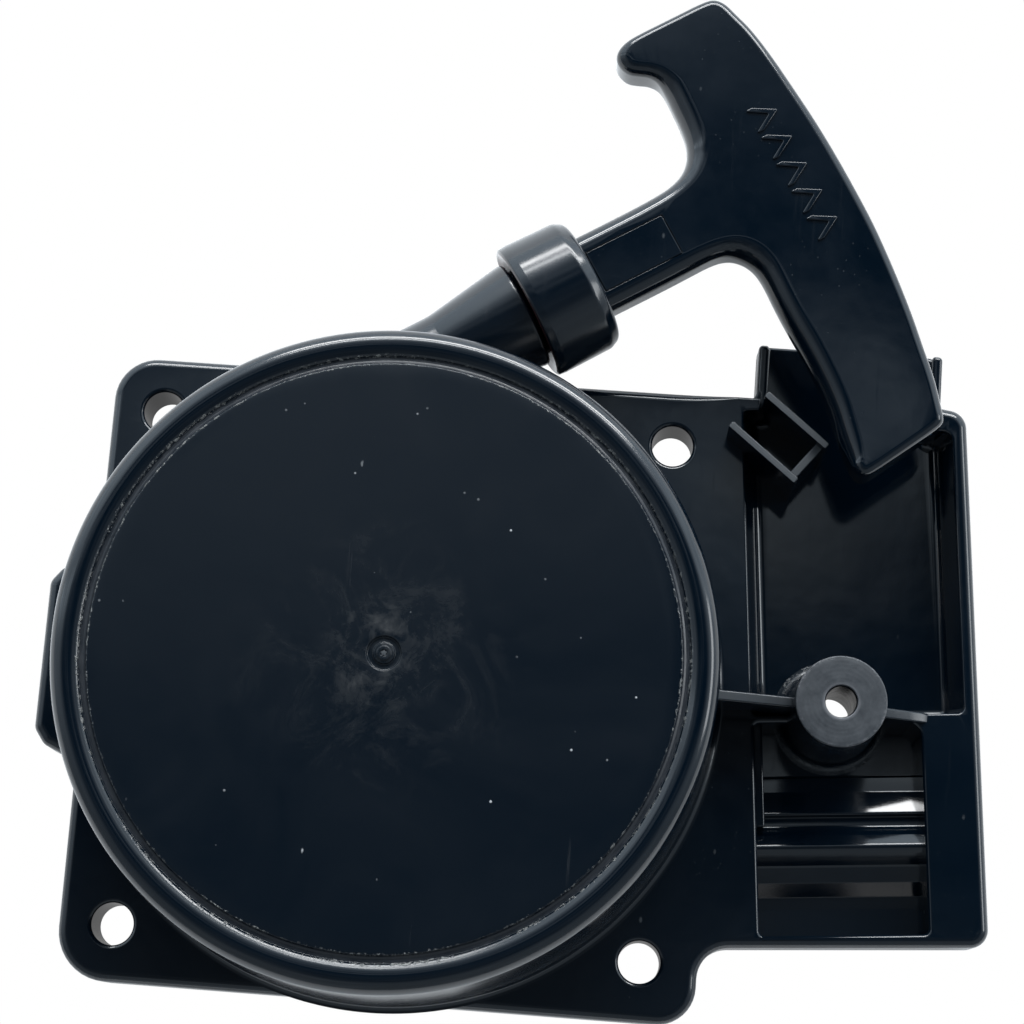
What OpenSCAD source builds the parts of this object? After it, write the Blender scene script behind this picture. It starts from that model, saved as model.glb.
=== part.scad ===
// Recoil starter for a small two-stroke engine. Units are millimetres.
// +Z is the drum axis, out of the closed face. Z = 0 is the face that bolts to the engine.
// The origin is the centre of the four mounting holes.

/* [Mounting] */
// Distance between mounting holes along X and along Y
hole_gap = 75; // [74.6:0.1:75.4]
// Diameter of the four mounting holes
hole_d = 6; // [5.6:0.1:6.4]
// Height of the mounting plate
plate_h = 8.5; // [8.3:0.1:8.8]

/* [Drum] */
// Largest radius of the drum, at its rounded rim
drum_r = 45.45; // [45.2:0.05:45.8]
// Height of the drum face above the mounting face
drum_h = 35.5; // [35.3:0.1:36]
// Radius of the flat disc inside the ring groove
disc_r = 40; // [39.6:0.1:40.2]

/* [Side tray] */
// Turn of the side tray about the drum axis, in degrees
tray_turn = 4.8; // [4.4:0.1:5.2]
// Height of the tray floor above the mounting face
floor_h = 2; // [1.8:0.1:2.2]
// Height of the top of the round boss
boss_h = 21.6; // [21:0.1:22]
// Outer radius of the round boss at its top
boss_r = 6.4; // [6.3:0.05:6.5]
// Radius of the hole through the boss
boss_hole_r = 2.15; // [2.1:0.05:2.25]
// Gap between the two walls of the clip
clip_gap = 5.75; // [5.65:0.05:5.85]

/* [Rope and handle] */
// Angle of the rope and handle from +X, in degrees
pull_turn = 31.4; // [31.2:0.1:31.6]
// Distance from the drum axis to the rope where it leaves
rope_off = 38.1; // [38:0.05:38.2]
// Height of the rope above the mounting face
rope_z = 16.5; // [16.45:0.05:16.55]
// Rope diameter
rope_d = 2.8; // [2.7:0.1:2.9]
// Thickness of the handle
grip_t = 7.4; // [7.2:0.1:8]

/* [Works] */
// Radius of the fixed post
post_r = 6; // [5.98:0.01:6.02]
// Radius of the reel flanges
reel_r = 41; // [40.8:0.1:41.2]
// Turns of spring strip
spring_turns = 9; // [8:1:10]
// Thickness of spring strip
spring_t = 0.7; // [0.6:0.05:0.75]

/* [Hidden] */
$fn = 96;
hg = hole_gap / 2;
rim_c = drum_r - 2.45;
rim_z = drum_h - 2.3;
in_r = drum_r - 2.55;
in_h = drum_h - 2.3;
boss_x = 62.95;
boss_y = -0.25;
coil_in = rope_off - 11.1;
coil_turns = 3.58;
coil_step = (rope_off - coil_in) / coil_turns;
grip_lo = rope_z - grip_t / 2;
grip_pts = [[49.5, -5.8], [60, -5.8], [64, -5.72], [68.6, -5.6], [70.7, -6.2], [72.2, -7.7], [73.1, -9.6], [73.33, -12], [73.1, -16], [73.05, -20], [73.2, -24.5],
    [73, -29.5], [72.6, -33.4], [71.6, -38], [71.3, -41.5], [71.7, -43.4], [73, -44.2], [78.9, -43.7], [84.6, -42.9], [86.1, -42.1], [86.6, -40.6], [88, -36],
    [88.75, -31.5], [89.6, -27], [90.3, -22.1], [90.9, -16.8], [91.35, -11.5], [91.48, -5], [91.46, 1.2], [91.25, 6.5], [90.85, 11.7], [90.35, 17.8], [89.6, 22.8],
    [88.75, 25.6], [88.1, 27.7], [87.2, 28.9], [85.6, 29.5], [80, 29.5], [74.5, 29.5], [72.3, 29.3], [70.85, 28.7], [70.1, 27.7], [69.98, 26.5], [70.5, 24.95],
    [71.8, 23.95], [73, 23.2], [73.85, 21.9], [74, 20], [73.85, 17.5], [73.7, 14.6], [73.3, 11.9], [72.2, 9.6], [70.4, 7.85], [68.2, 6.93], [65.4, 6.6], [60, 6.42], [49.5, 6.42]];

// rectangle with four round corners
module rrect(x0, y0, x1, y1, r) {
    translate([x0 + r, y0]) square([x1 - x0 - 2 * r, y1 - y0]);
    translate([x0, y0 + r]) square([x1 - x0, y1 - y0 - 2 * r]);
    for (x = [x0 + r, x1 - r], y = [y0 + r, y1 - r]) translate([x, y]) circle(r, $fn = 48);
}

// tube with a bore
module ring(ro, ri, h) {
    difference() {
        cylinder(r = ro, h = h);
        translate([0, 0, -1]) cylinder(r = ri, h = h + 2);
    }
}

// moves children into the frame of the side tray
module in_tray() {
    translate([boss_x, boss_y, 0]) rotate(tray_turn) children();
}

// moves children so that +X runs along the rope, out of the drum
module on_rope() {
    rotate(pull_turn) translate([0, rope_off, rope_z]) children();
}

// runs a profile in y, z along x from x0 to x1
module along_x(x0, x1) {
    translate([x0, 0, 0]) rotate([90, 0, 90]) linear_extrude(x1 - x0) children();
}

// outline of the mounting plate
module plate_2d() {
    translate([-39, -45.6]) square([88, 85]);
    translate([-45.2, -39]) square([93, 78.5]);
    translate([-39.2, 39]) square([88, 6.5]);
    translate([-39.2, 39.5]) circle(6, $fn = 64);
    translate([-38.2, -38.6]) circle(7, $fn = 64);
    // left tab
    polygon([[-44, -16], [-50.4, -12.6], [-51.7, -10.6], [-51.7, 11], [-50.6, 13.2], [-44, 16]]);
    // right side of the lower right lobe
    translate([hg - 0.2, -hg - 0.2]) circle(8.3, $fn = 64);
}

// solid part of the plate with the lower right corner shaped around its hole
module plate_solid() {
    linear_extrude(plate_h) difference() {
        union() {
            plate_2d();
            translate([44, -40]) square([9, 20]);
        }
        // square corner cut back to the round lobe
        difference() {
            translate([hg, -50]) square([20, 12]);
            translate([hg - 0.2, -hg - 0.2]) circle(8.3, $fn = 64);
        }
        translate([50.3, -39.2]) circle(5, $fn = 48);
        translate([45.4, -52]) square([12, 12.9]);
    }
    // tray block
    linear_extrude(plate_h) in_tray_2d() rrect(-15, -33.6, 21.1, 44.4, 2.6);
    // tongue at the top of the tray
    linear_extrude(7) rrect(49.4, 40, 76.6, 54.1, 1.2);
    linear_extrude(floor_h) rrect(49.4, 50, 76.6, 55.3, 1.2);
    // inside corner between plate and tongue
    translate([48.1, 45.3, 0]) difference() {
        cube([1.5, 1.5, 7]);
        translate([0, 1.5, -1]) cylinder(r = 1.3, h = 20, $fn = 48);
    }
}

module in_tray_2d() {
    translate([boss_x, boss_y]) rotate(tray_turn) children();
}

// upper pocket of the tray, with sloping side walls
module upper_pocket() {
    in_tray() {
        rotate([90, 0, 0]) translate([0, 0, -41.8]) linear_extrude(42)
            polygon([[-11.65, plate_h + 0.01], [-9.7, floor_h], [16.9, floor_h], [18.8, plate_h + 0.01], [18.8, 40], [-11.65, 40]]);
    }
    // way out over the tongue
    translate([51.2, 38, floor_h]) cube([23.6, 30, 30]);
}

// lower pocket of the tray
module lower_pocket() {
    in_tray() translate([-11.4, -31.6, floor_h]) cube([24, 30.2, 40]);
}

// stepped saddle on the floor of the lower pocket, profile along y
module saddle() {
    in_tray() along_x(-12.4, 13.4) polygon([
        [-8.6, 1], [-8.6, floor_h], [-10, 2.9], [-12, 4], [-14.3, 4.7], [-14.4, 4.2], [-15.8, 4.3], [-17, 5.4],
        [-18.4, 6.3], [-19.2, 6.5], [-20, 6.2], [-21.6, 4.9], [-23.4, 3.9], [-24.4, 3.7], [-26.2, floor_h + 0.6],
        [-28, floor_h], [-28, 1]]);
    // thin ledge left of the step
    in_tray() translate([-12, -16, 1]) cube([1.9, 15, 5.6]);
}

// tall rib from the drum wall past the boss to the tray's right side
module cross_rib() {
    translate([0, 0.7, 0]) rotate([90, 0, 0]) linear_extrude(1.5)
        polygon([[44.5, 1], [44.5, 18.4], [57, 15.6], [70, 11.4], [75.6, 9.1], [76.6, plate_h], [76.6, 1]]);
}

module boss() {
    translate([boss_x, boss_y, 0]) rotate_extrude()
        polygon([[0, 0], [boss_r + 1.2, 0], [boss_r + 1.2, floor_h], [boss_r + 0.6, floor_h + 0.5], [boss_r + 0.35, floor_h + 1.4], [boss_r, boss_h - 0.25], [boss_r - 0.25, boss_h], [0, boss_h]]);
}

// rope clip: two walls and a lower end wall
module clip() {
    translate([45.2, 39.4, 0]) rotate(-38.3) {
        cube([12.6, 1.05, 15.3]);
        translate([0.9, clip_gap + 1.05, 0]) cube([11.7, 1.05, 15.3]);
        translate([11, 0.5, 0]) cube([1.15, clip_gap + 1.2, 13.6]);
    }
}

// outside of the drum
module drum_solid() {
    rotate_extrude($fn = 180) polygon(concat(
        [[0, 0], [drum_r + 0.75, 0], [drum_r + 0.75, plate_h], [drum_r + 0.6, plate_h + 1.2], [drum_r + 0.05, rim_z - 1]],
        [for (a = [0:12.5:125]) [rim_c + 2.45 * cos(a), rim_z + 2.45 * sin(a)]],
        [[disc_r + 1.25, drum_h - 0.45], [disc_r + 0.35, drum_h - 0.4], [disc_r, drum_h], [2.4, drum_h],
        [2.2, drum_h - 0.35], [1.45, drum_h - 0.35], [1.35, drum_h - 0.1], [1, drum_h - 0.1], [0.9, drum_h + 0.15],
        [0.35, drum_h + 0.15], [0.3, drum_h - 0.2], [0, drum_h - 0.2]]));
}

// inside of the drum, with the fixed post left standing
module drum_hollow() {
    rotate_extrude($fn = 180) polygon([[post_r, -1], [in_r, -1], [in_r - 0.15, in_h - 2], [in_r - 1.2, in_h - 0.5], [in_r - 2.4, in_h],
        [post_r + 1.6, in_h], [post_r + 0.2, in_h - 1.2], [post_r, in_h - 2]]);
    translate([0, 0, -1]) cylinder(r = post_r + 2, h = 7.2);
}

// neck that leads the rope out, flared towards its mouth
module neck_solid() {
    on_rope() rotate([0, 90, 0]) {
        translate([0, 0, 14]) cylinder(r1 = 3.9, r2 = 7.7, h = 26.6);
        translate([0, 0, 40.5]) cylinder(r = 6.6, h = 4);
    }
    // web under the neck, down to the plate
    rotate(pull_turn) translate([24, rope_off - 2, 4]) cube([11, 4, rope_z - 4]);
}

module housing() color("#15181c") difference() {
    union() {
        difference() {
            union() {
                plate_solid();
                drum_solid();
                neck_solid();
            }
            drum_hollow();
            upper_pocket();
            lower_pocket();
            // cored pockets on the engine side, kept clear of the bolt holes
            for (p = [[-42.6, 25.5, 2.2, 5], [-42.6, -30.5, 2.2, 5], [-30.5, 41.2, 5, 2], [25.5, 41.2, 5, 2], [-30.5, -43.4, 5, 2], [25.5, -43.4, 5, 2]])
                translate([p[0], p[1], -1]) cube([p[2], p[3], 6.5]);
            // hollow left tab
            translate([-49.6, -9.4, -1]) cube([2.6, 19, 6.8]);
            // hollow under the right strip
            translate([47.6, 6, -1]) cube([0.9, 30, 6.5]);
        }
        saddle();
        boss();
        clip();
        cross_rib();
        // bosses that the spring case screws into
        for (a = [20, 140, 260]) rotate(a) translate([34.6, 0, 27]) cylinder(r = 3.2, h = in_h - 26.5, $fn = 48);
    }
    // mounting holes, and room for bolt heads at the foot of the drum wall
    for (x = [-hg, hg], y = [-hg, hg]) translate([x, y, 0]) {
        translate([0, 0, -1]) cylinder(d = hole_d, h = 30, $fn = 64);
        translate([0, 0, plate_h]) cylinder(r = 7.2, h = 14, $fn = 64);
    }
    // boss hole, wider at the foot
    translate([boss_x, boss_y, -1]) {
        cylinder(r = boss_hole_r, h = 40, $fn = 64);
        cylinder(r = 3.1, h = 9, $fn = 64);
    }
    // hole for the threaded insert
    translate([0, 0, 5]) cylinder(r = 3.6, h = 15);
    translate([0, 0, 19]) cylinder(r = 2.7, h = 4);
    // rope bore and eyelet seat
    on_rope() rotate([0, 90, 0]) {
        translate([0, 0, 10]) cylinder(r = 2.3, h = 40, $fn = 48);
        translate([0, 0, 38.6]) cylinder(r = 3.6, h = 10, $fn = 48);
        translate([0, 0, 43.4]) cylinder(r = 4.6, h = 3, $fn = 48);
    }
    // pilot holes for the case screws
    for (a = [20, 140, 260]) rotate(a) translate([34.6, 0, 26]) cylinder(r = 1.12, h = 6.2, $fn = 32);
}

// hard ring that takes the rope's rubbing at the mouth of the neck
module rope_eyelet() color("#b9bdc2") on_rope() rotate([0, 90, 0]) difference() {
    union() {
        translate([0, 0, 38.62]) cylinder(r = 3.58, h = 5, $fn = 48);
        translate([0, 0, 43.42]) cylinder(r = 4.56, h = 1, $fn = 48);
    }
    rotate_extrude($fn = 48) polygon([[0, 38], [2.2, 38], [1.75, 39.6], [1.7, 41.5], [1.8, 43], [2.3, 44], [3, 44.6], [0, 44.6]]);
}

// brass insert moulded into the post
module post_insert() color("#b98f45") translate([0, 0, 6.2]) difference() {
    cylinder(r = 3.59, h = 12.8);
    translate([0, 0, -1]) cylinder(r = 2.5, h = 15);
}

module centre_bolt() color("#8d9196") {
    translate([0, 0, 1.2]) difference() {
        cylinder(r = 4.6, h = 3.4, $fn = 6);
        translate([0, 0, -0.1]) cylinder(r = 2, h = 1.2, $fn = 48);
    }
    translate([0, 0, 4.4]) cylinder(r = 5.4, h = 0.7);
    translate([0, 0, 4.6]) cylinder(r = 2.46, h = 13.6);
}

module clamp_washer() color("#a9adb1") translate([0, 0, 5.1]) ring(9.4, 2.6, 1.1);

module thrust_washer() color("#c3c6c9") translate([0, 0, 8.66]) ring(9.2, post_r + 0.05, 0.3);

// cup that holds the mainspring
module spring_case() color("#23272b") difference() {
    union() {
        translate([0, 0, 22.2]) cylinder(r = 31, h = in_h - 22.2);
        for (a = [20, 140, 260]) rotate(a) {
            translate([34.6, 0, 25]) cylinder(r = 3.4, h = 2, $fn = 48);
            translate([28, -3.4, 25]) cube([6.6, 6.8, 2]);
        }
    }
    translate([0, 0, 23.4]) cylinder(r = 29.6, h = 20);
    translate([0, 0, 20]) cylinder(r = 10, h = 20);
    for (a = [20, 140, 260]) rotate(a) translate([34.6, 0, 20]) cylinder(r = 1.6, h = 20, $fn = 32);
    // window where the spring's outer end hooks on
    rotate(75) translate([28.6, -1.6, 23.9]) cube([4, 3.2, 8]);
}

module case_screws() color("#9a9ea3") for (a = [20, 140, 260]) rotate(a) translate([34.6, 0, 0]) difference() {
    union() {
        translate([0, 0, 23.1]) cylinder(r = 2.8, h = 1.9, $fn = 48);
        translate([0, 0, 24.8]) cylinder(r = 1.1, h = 7, $fn = 32);
    }
    for (t = [0, 90]) rotate(t) translate([-1.6, -0.3, 23]) cube([3.2, 0.6, 0.9]);
}

// spiral strip points from the hub out to the case
function sp(k, off) = let (r = 10.8 + (28.3 - 10.8) * k / spring_turns + off, a = 75 - 360 * k) [r * cos(a), r * sin(a)];

module mainspring() color("#6f7c8c") translate([0, 0, 24.2]) linear_extrude(7.4) {
    polygon(concat([for (i = [0:1:spring_turns * 24]) sp(i / 24, -spring_t / 2)], [for (i = [spring_turns * 24:-1:0]) sp(i / 24, spring_t / 2)]));
    // outer hook through the case window and inner hook into the hub
    rotate(75) translate([27.9, -0.4]) square([3.3, 0.8]);
    rotate(75) translate([8.1, -0.4]) square([2.9, 0.8]);
}

// rope pulley with a narrow groove and a pawl face
module reel() color("#2b3036") difference() {
    union() {
        rotate_extrude($fn = 120) polygon([[0, 9], [12.6, 9], [12.6, 12.4], [reel_r - 0.4, 12.4], [reel_r, 12.8], [reel_r, 14.2], [reel_r - 0.6, 14.6],
            [25.3, 14.75], [25.3, 18.25], [reel_r - 0.6, 18.4], [reel_r, 18.8], [reel_r, 20.2], [reel_r - 0.4, 20.6], [16, 20.6], [16, 21.6], [9, 21.6], [9, 31.6], [0, 31.6]]);
        // pawl pins
        for (a = [0, 180]) rotate(a) translate([18, 0, 8.9]) cylinder(r = 1.9, h = 4, $fn = 48);
        // stops behind the pawls
        for (a = [0, 180]) rotate(a) translate([15.2, -14.4, 9.2]) cube([2.2, 1.9, 4]);
    }
    translate([0, 0, 8]) cylinder(r = 7.2, h = 30);
    translate([0, 0, 8]) cylinder(r = 11.2, h = 5);
    // slot for the spring's inner hook
    rotate(75) translate([7.8, -0.7, 23]) cube([2, 1.4, 10]);
    // slots where the friction plate's return spring hooks
    for (a = [95, 275]) rotate(a) translate([10.8, -0.8, 8]) cube([3, 1.6, 3.4]);
    // lightening holes between core and hub
    for (a = [30:60:330]) rotate(a) translate([18.6, 0, 10]) cylinder(r = 2.3, h = 14, $fn = 48);
    // pocket and hole for the rope's end knot
    rotate(pull_turn + 90 + 360 * coil_turns - 7) translate([23.6, 0, 10]) cylinder(r = 3.4, h = 8.4, $fn = 48);
    rotate(pull_turn + 90 + 360 * coil_turns - 4) translate([23, 0, rope_z]) rotate([0, 90, 0]) cylinder(r = 1.55, h = 4, $fn = 32);
}

// sleeve pressed in the reel
module reel_bush() color("#a8844a") translate([0, 0, 13.2]) ring(7.2, post_r + 0.05, 17.6);

// rope wound on the reel, from its knot out to the line where it leaves
module rope_coil() color("#d8d4c8") {
    n = 30;
    m = 10;
    steps = round(coil_turns * n);
    pts = [for (i = [0:steps], j = [0:m - 1]) let (k = i / n, a = pull_turn + 90 + 360 * k, r = rope_off - coil_step * k + rope_d / 2 * cos(360 * j / m))
        [r * cos(a), r * sin(a), rope_z + rope_d / 2 * sin(360 * j / m)]];
    faces = concat(
        [for (i = [0:steps - 1], j = [0:m - 1]) [i * m + j, i * m + (j + 1) % m, (i + 1) * m + (j + 1) % m, (i + 1) * m + j]],
        [[for (j = [m - 1:-1:0]) j]], [[for (j = [0:m - 1]) steps * m + j]]);
    polyhedron(pts, faces);
}

module reel_knot() color("#d8d4c8") rotate(pull_turn + 90 + 360 * coil_turns - 7) translate([23.2, 0, 12.5]) {
    cylinder(r = 2.3, h = 2.4, $fn = 48);
    translate([0, 0, 2.4]) sphere(r = 1.8, $fn = 32);
}

// plate that drives the pawls
module friction_plate() color("#9b9fa4") {
    translate([0, 0, 6.7]) linear_extrude(1.8) difference() {
        union() {
            circle(11.6);
            for (a = [0, 180]) rotate(a - 25.4) {
                translate([0, -3.4]) square([19.6, 6.8]);
                translate([19.2, 0]) circle(3.4, $fn = 48);
            }
        }
        circle(post_r + 0.06);
        for (a = [75, 255]) rotate(a) translate([9.4, 0]) circle(0.9, $fn = 32);
    }
    for (a = [0, 180]) rotate(a - 25.4) translate([19.8, 0, 8.4]) cylinder(r = 1, h = 3.2, $fn = 32);
}

// round wire wound on a helix
module coil(r, w, z0, z1, turns, m = 8, n = 24) {
    steps = round(turns * n);
    pts = [for (i = [0:steps], j = [0:m - 1]) let (a = 360 * i / n, q = r + w / 2 * cos(360 * j / m))
        [q * cos(a), q * sin(a), z0 + w / 2 + (z1 - z0 - w) * i / steps + w / 2 * sin(360 * j / m)]];
    faces = concat(
        [for (i = [0:steps - 1], j = [0:m - 1]) [i * m + j, (i + 1) * m + j, (i + 1) * m + (j + 1) % m, i * m + (j + 1) % m]],
        [[for (j = [0:m - 1]) j]], [[for (j = [m - 1:-1:0]) steps * m + j]]);
    polyhedron(pts, faces);
}

module friction_spring() color("#7d8288") coil(8.3, 0.8, 9.1, 12.9, 3.5);

module return_spring() color("#8f949a") coil(10.3, 0.7, 9.1, 12.2, 3);

// pawl lying along -Y from its pin, with a slot for the plate's lug
module pawl() translate([18, 0, 9.1]) difference() {
    linear_extrude(3) difference() {
        union() {
            circle(3.6, $fn = 48);
            polygon([[-3.6, 0.2], [-3.1, -9], [-2.4, -11.2], [-0.2, -12], [2.3, -11.2], [2.9, -9.6], [3.6, 0.2]]);
        }
        circle(1.96, $fn = 48);
        translate([-1.75, -9.1]) square([2.9, 5.7]);
        translate([-0.3, -9.1]) circle(1.45, $fn = 32);
    }
}

module pawl_a() color("#777b80") pawl();

module pawl_b() color("#777b80") rotate(180) pawl();

// straight run of rope from the reel, through the neck, into the handle
module rope_lead() color("#d8d4c8") on_rope() rotate([0, 90, 0]) translate([0, 0, 0.5]) cylinder(d = rope_d, h = 53.6, $fn = 32);

// outline of the handle along and across the rope
module grip_2d(e) {
    n = len(grip_pts);
    polygon([for (i = [0:n - 1]) let (a = grip_pts[(i + n - 1) % n], b = grip_pts[(i + 1) % n], t = (b - a) / norm(b - a),
        w = 1 + 1.5 * max(0, min(1, (-t[1] - 0.2) / 0.5))) grip_pts[i] + e * w * [-t[1], t[0]]]);
}

module handle_grip() color("#15181c") rotate(pull_turn) translate([0, rope_off, 0]) difference() {
    union() {
        translate([0, 0, grip_lo]) linear_extrude(grip_t) grip_2d(1.1);
        translate([0, 0, grip_lo + 0.4]) linear_extrude(grip_t - 0.8) grip_2d(0.5);
        translate([0, 0, grip_lo + 1.1]) linear_extrude(grip_t - 2.2) grip_2d(0);
        // plain raised chevrons along the crossbar
        for (i = [-2:2]) translate([82.4, 0.4 + 4.6 * i, rope_z]) linear_extrude(grip_t / 2 + 0.35)
            polygon([[0, -1.9], [1.3, -1.9], [4.6, 0], [1.3, 1.9], [0, 1.9], [3.1, 0]]);
        // cup that sits over the mouth of the neck
        translate([0, 0, rope_z]) rotate([0, 90, 0]) rotate_extrude($fn = 96)
            polygon([[0, 41], [9, 41], [9.5, 41.5], [9.5, 50.1], [9, 51], [8.2, 51.5], [0, 51.5]]);
    }
    // hollow of the cup
    translate([0, 0, rope_z]) rotate([0, 90, 0]) {
        rotate_extrude($fn = 96) polygon([[0, 40], [8.2, 40], [8.2, 41.2], [7.2, 42], [7.2, 46.4], [0, 46.4]]);
        translate([0, 0, 44]) cylinder(r = 1.8, h = 14, $fn = 48);
    }
    // knot pocket, open to the top
    translate([53, -2.6, rope_z - 2.9]) cube([10.4, 5.2, 20]);
    translate([52, -3.3, grip_lo + grip_t - 1.2]) cube([12.6, 6.6, 3]);
}

// lid over the knot pocket
module handle_lid() color("#15181c") rotate(pull_turn) translate([52.1, rope_off - 3.2, grip_lo + grip_t - 1.1]) cube([12.4, 6.4, 1.1]);

module knot_washer() color("#a9adb1") on_rope() rotate([0, 90, 0]) translate([0, 0, 53.05]) ring(2.4, 1.45, 0.8);

module grip_knot() color("#d8d4c8") on_rope() {
    translate([56.6, 0, 0]) sphere(r = 2.4, $fn = 32);
    translate([58.6, 0, 0]) rotate([0, 90, 0]) cylinder(r = 1.9, h = 1.6, $fn = 32);
}

housing();
rope_eyelet();
post_insert();
centre_bolt();
clamp_washer();
thrust_washer();
spring_case();
case_screws();
mainspring();
reel();
reel_bush();
rope_coil();
reel_knot();
friction_plate();
friction_spring();
return_spring();
pawl_a();
pawl_b();
rope_lead();
handle_grip();
handle_lid();
knot_washer();
grip_knot();
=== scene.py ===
import bpy, bmesh, math, random
import numpy as np
from mathutils import Vector, Matrix, Euler


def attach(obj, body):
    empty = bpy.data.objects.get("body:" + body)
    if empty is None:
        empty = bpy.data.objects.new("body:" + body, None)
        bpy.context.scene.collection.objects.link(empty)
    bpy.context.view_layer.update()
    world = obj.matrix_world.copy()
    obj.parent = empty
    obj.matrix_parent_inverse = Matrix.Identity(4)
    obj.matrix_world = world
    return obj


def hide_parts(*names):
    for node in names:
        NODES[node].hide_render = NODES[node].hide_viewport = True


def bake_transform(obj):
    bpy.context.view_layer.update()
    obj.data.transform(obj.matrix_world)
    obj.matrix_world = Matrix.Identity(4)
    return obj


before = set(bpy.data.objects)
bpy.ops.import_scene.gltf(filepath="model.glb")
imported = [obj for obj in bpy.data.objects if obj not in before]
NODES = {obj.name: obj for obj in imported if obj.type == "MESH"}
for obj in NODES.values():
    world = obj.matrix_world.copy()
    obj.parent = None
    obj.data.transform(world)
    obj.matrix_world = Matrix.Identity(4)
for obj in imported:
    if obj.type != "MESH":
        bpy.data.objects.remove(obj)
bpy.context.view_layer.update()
MM = 0.001

# ---------------------------------------------------------------- dimensions (mm, as the CAD)
HG = 37.5
PLATE = 8.5
FLOOR = 2.0
DR = 45.45
DH = 35.5
DISC = 40.0
IN_R = DR - 2.55
IN_H = DH - 2.3
BX, BY = 62.95, -0.25
BOSS_H, BOSS_R = 21.6, 6.4
TURN = math.radians(4.8)
PULL = math.radians(31.4)
OFF = 38.1
RZ = 16.5


def tray(u, v):
    c, s = math.cos(TURN), math.sin(TURN)
    return (BX + u * c - v * s, BY + u * s + v * c)


M_TRAY = Matrix.Translation((BX, BY, 0)) @ Matrix.Rotation(TURN, 4, "Z")
M_PULL = Matrix.Rotation(PULL, 4, "Z")
M_ROPE = M_PULL @ Matrix.Translation((0, OFF, RZ)) @ Matrix.Rotation(math.pi / 2, 4, "Y")  # local z runs along the rope
M_GRIP = M_PULL @ Matrix.Translation((0, OFF, 0))


# ---------------------------------------------------------------- outlines
def arc(cx, cy, r, a0, a1, n):
    return [(cx + r * math.cos(math.radians(a0 + (a1 - a0) * i / n)), cy + r * math.sin(math.radians(a0 + (a1 - a0) * i / n))) for i in range(n + 1)]


def circle(cx, cy, r, n=64, cw=False):
    p = [(cx + r * math.cos(2 * math.pi * i / n), cy + r * math.sin(2 * math.pi * i / n)) for i in range(n)]
    return p[::-1] if cw else p


def rounded(corners, n=8, closed=True):
    """corners: (x, y, r). Returns the outline with each corner turned into an arc of n steps."""
    out = []
    m = len(corners)
    for i, (x, y, r) in enumerate(corners):
        if not closed and i in (0, m - 1):
            out.append((x, y))
            continue
        p = np.array((x, y), float)
        a = np.array(corners[i - 1][:2], float) - p
        b = np.array(corners[(i + 1) % m][:2], float) - p
        la, lb = np.linalg.norm(a), np.linalg.norm(b)
        a, b = a / la, b / lb
        cosang = float(np.clip(a @ b, -1, 1))
        half = math.acos(cosang) / 2
        if r <= 0 or half > math.radians(89.5):
            out.append((x, y))
            continue
        t = min(r / math.tan(half), la * 0.49, lb * 0.49)
        rr = t * math.tan(half)
        c = p + (a + b) / np.linalg.norm(a + b) * (rr / math.sin(half))
        s, e = p + a * t - c, p + b * t - c
        a0, a1 = math.atan2(s[1], s[0]), math.atan2(e[1], e[0])
        d = (a1 - a0 + math.pi) % (2 * math.pi) - math.pi
        out += [(c[0] + rr * math.cos(a0 + d * k / n), c[1] + rr * math.sin(a0 + d * k / n)) for k in range(n + 1)]
    return out


def chaikin(p, times=3):
    for _ in range(times):
        q = []
        for i in range(len(p)):
            a, b = np.array(p[i]), np.array(p[(i + 1) % len(p)])
            q += [tuple(a * 0.75 + b * 0.25), tuple(a * 0.25 + b * 0.75)]
        p = q
    return p


def dense(p, step, closed=True):
    out = []
    m = len(p)
    for i in range(m if closed else m - 1):
        a, b = np.array(p[i]), np.array(p[(i + 1) % m])
        k = max(1, int(np.linalg.norm(b - a) / step))
        out += [tuple(a + (b - a) * j / k) for j in range(k)]
    if not closed:
        out.append(tuple(p[-1]))
    return out


def area(p):
    return 0.5 * sum(p[i][0] * p[(i + 1) % len(p)][1] - p[(i + 1) % len(p)][0] * p[i][1] for i in range(len(p)))


def inset(p, e):
    """Moves a closed loop to its left by e (into the material)."""
    a = np.array(p)
    d1 = a - np.roll(a, 1, 0)
    d2 = np.roll(a, -1, 0) - a
    d1 /= np.maximum(np.linalg.norm(d1, axis=1, keepdims=True), 1e-9)
    d2 /= np.maximum(np.linalg.norm(d2, axis=1, keepdims=True), 1e-9)
    n1, n2 = np.c_[-d1[:, 1], d1[:, 0]], np.c_[-d2[:, 1], d2[:, 0]]
    n = n1 + n2
    n /= np.maximum(np.linalg.norm(n, axis=1, keepdims=True), 1e-9)
    k = np.maximum((n * n1).sum(1, keepdims=True), 0.5)
    return a + n / k * e


# ---------------------------------------------------------------- mesh makers
def punch(bm, cx, cy, r, n=24):
    """Cuts an upright round hole through everything in bm."""
    def near():
        fs = []
        for f in bm.faces:
            xs, ys = [v.co.x for v in f.verts], [v.co.y for v in f.verts]
            if min(xs) < cx + r and max(xs) > cx - r and min(ys) < cy + r and max(ys) > cy - r:
                fs.append(f)
        return fs
    for k in range(n):
        a = 2 * math.pi * k / n
        fs = near()
        es = list({e for f in fs for e in f.edges})
        vs = list({v for f in fs for v in f.verts})
        bmesh.ops.bisect_plane(bm, geom=fs + es + vs, dist=1e-5, plane_co=(cx + r * math.cos(a), cy + r * math.sin(a), 0), plane_no=(math.cos(a), math.sin(a), 0))
    gone = [f for f in near() if (f.calc_center_median().xy - Vector((cx, cy))).length < r * 0.999]
    bmesh.ops.delete(bm, geom=gone, context="FACES")


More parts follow.
